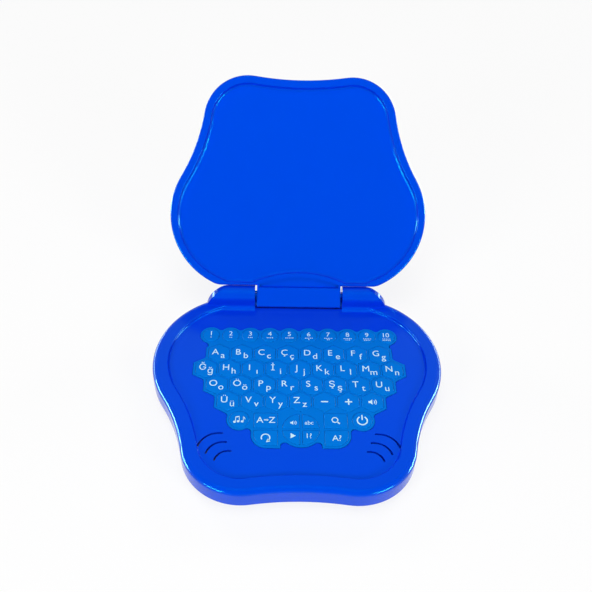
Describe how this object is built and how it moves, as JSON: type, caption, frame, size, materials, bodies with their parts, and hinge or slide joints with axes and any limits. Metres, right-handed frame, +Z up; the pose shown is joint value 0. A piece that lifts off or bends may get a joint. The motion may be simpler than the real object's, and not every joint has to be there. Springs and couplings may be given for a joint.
{
  "type": "toy laptop computer",
  "caption": "Paw-outlined toy laptop with a plain recessed lid on a rear hinge, a sunken deck of soft hexagonal and round keys, and slotted sound openings.",
  "frame": {"origin": "on the table plane under the middle of the open object's box", "axes": "+X to the right, +Y to the rear where the lid leans back, +Z up"},
  "size_m": [0.22, 0.2737, 0.1758],
  "materials": {
    "housing": "glossy moulded plastic",
    "keypad": "soft translucent rubber with white marks",
    "steel": "plain steel",
    "board": "green laminate",
    "board_parts": "black resin",
    "speaker_steel": "pressed and plated",
    "speaker_cone": "matt film",
    "magnet": "sintered",
    "battery": "plain sleeve",
    "foot": "matt",
    "wire": "insulation"
  },
  "bodies": {
    "base": {"base_top_housing": "housing", "base_bottom_housing": "housing", "hinge_pins": "housing", "keypad_mat": "keypad", "circuit_board": "board", "board_parts": "board_parts", "speaker_frame": "speaker_steel", "speaker_cone": "speaker_cone", "speaker_magnet": "magnet", "battery_door": "housing", "batteries": "battery", "battery_contacts": "steel", "housing_screws": "steel", "battery_door_screw": "steel", "rubber_feet": "foot", "wires": "wire"},
    "lid": {"lid_shell": "housing"},
    "key_letter_01": {"key_letter_01": "keypad"},
    "key_letter_02": {"key_letter_02": "keypad"},
    "key_letter_03": {"key_letter_03": "keypad"},
    "key_letter_04": {"key_letter_04": "keypad"},
    "key_letter_05": {"key_letter_05": "keypad"},
    "key_letter_06": {"key_letter_06": "keypad"},
    "key_letter_07": {"key_letter_07": "keypad"},
    "key_letter_08": {"key_letter_08": "keypad"},
    "key_letter_09": {"key_letter_09": "keypad"},
    "key_letter_10": {"key_letter_10": "keypad"},
    "key_letter_11": {"key_letter_11": "keypad"},
    "key_letter_12": {"key_letter_12": "keypad"},
    "key_letter_13": {"key_letter_13": "keypad"},
    "key_letter_14": {"key_letter_14": "keypad"},
    "key_letter_15": {"key_letter_15": "keypad"},
    "key_letter_16": {"key_letter_16": "keypad"},
    "key_letter_17": {"key_letter_17": "keypad"},
    "key_letter_18": {"key_letter_18": "keypad"},
    "key_letter_19": {"key_letter_19": "keypad"},
    "key_letter_20": {"key_letter_20": "keypad"},
    "key_letter_21": {"key_letter_21": "keypad"},
    "key_letter_22": {"key_letter_22": "keypad"},
    "key_letter_23": {"key_letter_23": "keypad"},
    "key_letter_24": {"key_letter_24": "keypad"},
    "key_letter_25": {"key_letter_25": "keypad"},
    "key_letter_26": {"key_letter_26": "keypad"},
    "key_letter_27": {"key_letter_27": "keypad"},
    "key_letter_28": {"key_letter_28": "keypad"},
    "key_letter_29": {"key_letter_29": "keypad"},
    "key_letter_30": {"key_letter_30": "keypad"},
    "key_letter_31": {"key_letter_31": "keypad"},
    "key_letter_32": {"key_letter_32": "keypad"},
    "number_keys": {"number_keys": "keypad"},
    "key_music": {"key_music": "keypad"},
    "key_power": {"key_power": "keypad"},
    "key_function_1": {"key_function_1": "keypad"},
    "key_function_2": {"key_function_2": "keypad"},
    "key_function_3": {"key_function_3": "keypad"},
    "key_function_4": {"key_function_4": "keypad"},
    "key_function_5": {"key_function_5": "keypad"},
    "key_function_6": {"key_function_6": "keypad"},
    "key_function_7": {"key_function_7": "keypad"},
    "key_function_8": {"key_function_8": "keypad"}
  },
  "joints": [
    {"name": "lid_hinge", "type": "hinge", "parent": "base", "child": "lid", "pos_m": [0.0015, 0.04528, 0.0288], "axis": [1, 0, 0], "range_deg": [0, 122.4]},
    {"name": "key_letter_01_press", "type": "slide", "parent": "base", "child": "key_letter_01", "axis": [0, 0, 1], "range_m": [-0.001, 0], "stiffness_N_per_m": 400},
    {"name": "key_letter_02_press", "type": "slide", "parent": "base", "child": "key_letter_02", "axis": [0, 0, 1], "range_m": [-0.001, 0], "stiffness_N_per_m": 400},
    {"name": "key_letter_03_press", "type": "slide", "parent": "base", "child": "key_letter_03", "axis": [0, 0, 1], "range_m": [-0.001, 0], "stiffness_N_per_m": 400},
    {"name": "key_letter_04_press", "type": "slide", "parent": "base", "child": "key_letter_04", "axis": [0, 0, 1], "range_m": [-0.001, 0], "stiffness_N_per_m": 400},
    {"name": "key_letter_05_press", "type": "slide", "parent": "base", "child": "key_letter_05", "axis": [0, 0, 1], "range_m": [-0.001, 0], "stiffness_N_per_m": 400},
    {"name": "key_letter_06_press", "type": "slide", "parent": "base", "child": "key_letter_06", "axis": [0, 0, 1], "range_m": [-0.001, 0], "stiffness_N_per_m": 400},
    {"name": "key_letter_07_press", "type": "slide", "parent": "base", "child": "key_letter_07", "axis": [0, 0, 1], "range_m": [-0.001, 0], "stiffness_N_per_m": 400},
    {"name": "key_letter_08_press", "type": "slide", "parent": "base", "child": "key_letter_08", "axis": [0, 0, 1], "range_m": [-0.001, 0], "stiffness_N_per_m": 400},
    {"name": "key_letter_09_press", "type": "slide", "parent": "base", "child": "key_letter_09", "axis": [0, 0, 1], "range_m": [-0.001, 0], "stiffness_N_per_m": 400},
    {"name": "key_letter_10_press", "type": "slide", "parent": "base", "child": "key_letter_10", "axis": [0, 0, 1], "range_m": [-0.001, 0], "stiffness_N_per_m": 400},
    {"name": "key_letter_11_press", "type": "slide", "parent": "base", "child": "key_letter_11", "axis": [0, 0, 1], "range_m": [-0.001, 0], "stiffness_N_per_m": 400},
    {"name": "key_letter_12_press", "type": "slide", "parent": "base", "child": "key_letter_12", "axis": [0, 0, 1], "range_m": [-0.001, 0], "stiffness_N_per_m": 400},
    {"name": "key_letter_13_press", "type": "slide", "parent": "base", "child": "key_letter_13", "axis": [0, 0, 1], "range_m": [-0.001, 0], "stiffness_N_per_m": 400},
    {"name": "key_letter_14_press", "type": "slide", "parent": "base", "child": "key_letter_14", "axis": [0, 0, 1], "range_m": [-0.001, 0], "stiffness_N_per_m": 400},
    {"name": "key_letter_15_press", "type": "slide", "parent": "base", "child": "key_letter_15", "axis": [0, 0, 1], "range_m": [-0.001, 0], "stiffness_N_per_m": 400},
    {"name": "key_letter_16_press", "type": "slide", "parent": "base", "child": "key_letter_16", "axis": [0, 0, 1], "range_m": [-0.001, 0], "stiffness_N_per_m": 400},
    {"name": "key_letter_17_press", "type": "slide", "parent": "base", "child": "key_letter_17", "axis": [0, 0, 1], "range_m": [-0.001, 0], "stiffness_N_per_m": 400},
    {"name": "key_letter_18_press", "type": "slide", "parent": "base", "child": "key_letter_18", "axis": [0, 0, 1], "range_m": [-0.001, 0], "stiffness_N_per_m": 400},
    {"name": "key_letter_19_press", "type": "slide", "parent": "base", "child": "key_letter_19", "axis": [0, 0, 1], "range_m": [-0.001, 0], "stiffness_N_per_m": 400},
    {"name": "key_letter_20_press", "type": "slide", "parent": "base", "child": "key_letter_20", "axis": [0, 0, 1], "range_m": [-0.001, 0], "stiffness_N_per_m": 400},
    {"name": "key_letter_21_press", "type": "slide", "parent": "base", "child": "key_letter_21", "axis": [0, 0, 1], "range_m": [-0.001, 0], "stiffness_N_per_m": 400},
    {"name": "key_letter_22_press", "type": "slide", "parent": "base", "child": "key_letter_22", "axis": [0, 0, 1], "range_m": [-0.001, 0], "stiffness_N_per_m": 400},
    {"name": "key_letter_23_press", "type": "slide", "parent": "base", "child": "key_letter_23", "axis": [0, 0, 1], "range_m": [-0.001, 0], "stiffness_N_per_m": 400},
    {"name": "key_letter_24_press", "type": "slide", "parent": "base", "child": "key_letter_24", "axis": [0, 0, 1], "range_m": [-0.001, 0], "stiffness_N_per_m": 400},
    {"name": "key_letter_25_press", "type": "slide", "parent": "base", "child": "key_letter_25", "axis": [0, 0, 1], "range_m": [-0.001, 0], "stiffness_N_per_m": 400},
    {"name": "key_letter_26_press", "type": "slide", "parent": "base", "child": "key_letter_26", "axis": [0, 0, 1], "range_m": [-0.001, 0], "stiffness_N_per_m": 400},
    {"name": "key_letter_27_press", "type": "slide", "parent": "base", "child": "key_letter_27", "axis": [0, 0, 1], "range_m": [-0.001, 0], "stiffness_N_per_m": 400},
    {"name": "key_letter_28_press", "type": "slide", "parent": "base", "child": "key_letter_28", "axis": [0, 0, 1], "range_m": [-0.001, 0], "stiffness_N_per_m": 400},
    {"name": "key_letter_29_press", "type": "slide", "parent": "base", "child": "key_letter_29", "axis": [0, 0, 1], "range_m": [-0.001, 0], "stiffness_N_per_m": 400},
    {"name": "key_letter_30_press", "type": "slide", "parent": "base", "child": "key_letter_30", "axis": [0, 0, 1], "range_m": [-0.001, 0], "stiffness_N_per_m": 400},
    {"name": "key_letter_31_press", "type": "slide", "parent": "base", "child": "key_letter_31", "axis": [0, 0, 1], "range_m": [-0.001, 0], "stiffness_N_per_m": 400},
    {"name": "key_letter_32_press", "type": "slide", "parent": "base", "child": "key_letter_32", "axis": [0, 0, 1], "range_m": [-0.001, 0], "stiffness_N_per_m": 400},
    {"name": "number_keys_press", "type": "slide", "parent": "base", "child": "number_keys", "axis": [0, 0, 1], "range_m": [-0.001, 0], "stiffness_N_per_m": 400},
    {"name": "key_music_press", "type": "slide", "parent": "base", "child": "key_music", "axis": [0, 0, 1], "range_m": [-0.001, 0], "stiffness_N_per_m": 400},
    {"name": "key_power_press", "type": "slide", "parent": "base", "child": "key_power", "axis": [0, 0, 1], "range_m": [-0.001, 0], "stiffness_N_per_m": 400},
    {"name": "key_function_1_press", "type": "slide", "parent": "base", "child": "key_function_1", "axis": [0, 0, 1], "range_m": [-0.001, 0], "stiffness_N_per_m": 400},
    {"name": "key_function_2_press", "type": "slide", "parent": "base", "child": "key_function_2", "axis": [0, 0, 1], "range_m": [-0.001, 0], "stiffness_N_per_m": 400},
    {"name": "key_function_3_press", "type": "slide", "parent": "base", "child": "key_function_3", "axis": [0, 0, 1], "range_m": [-0.001, 0], "stiffness_N_per_m": 400},
    {"name": "key_function_4_press", "type": "slide", "parent": "base", "child": "key_function_4", "axis": [0, 0, 1], "range_m": [-0.001, 0], "stiffness_N_per_m": 400},
    {"name": "key_function_5_press", "type": "slide", "parent": "base", "child": "key_function_5", "axis": [0, 0, 1], "range_m": [-0.001, 0], "stiffness_N_per_m": 400},
    {"name": "key_function_6_press", "type": "slide", "parent": "base", "child": "key_function_6", "axis": [0, 0, 1], "range_m": [-0.001, 0], "stiffness_N_per_m": 400},
    {"name": "key_function_7_press", "type": "slide", "parent": "base", "child": "key_function_7", "axis": [0, 0, 1], "range_m": [-0.001, 0], "stiffness_N_per_m": 400},
    {"name": "key_function_8_press", "type": "slide", "parent": "base", "child": "key_function_8", "axis": [0, 0, 1], "range_m": [-0.001, 0], "stiffness_N_per_m": 400}
  ]
}
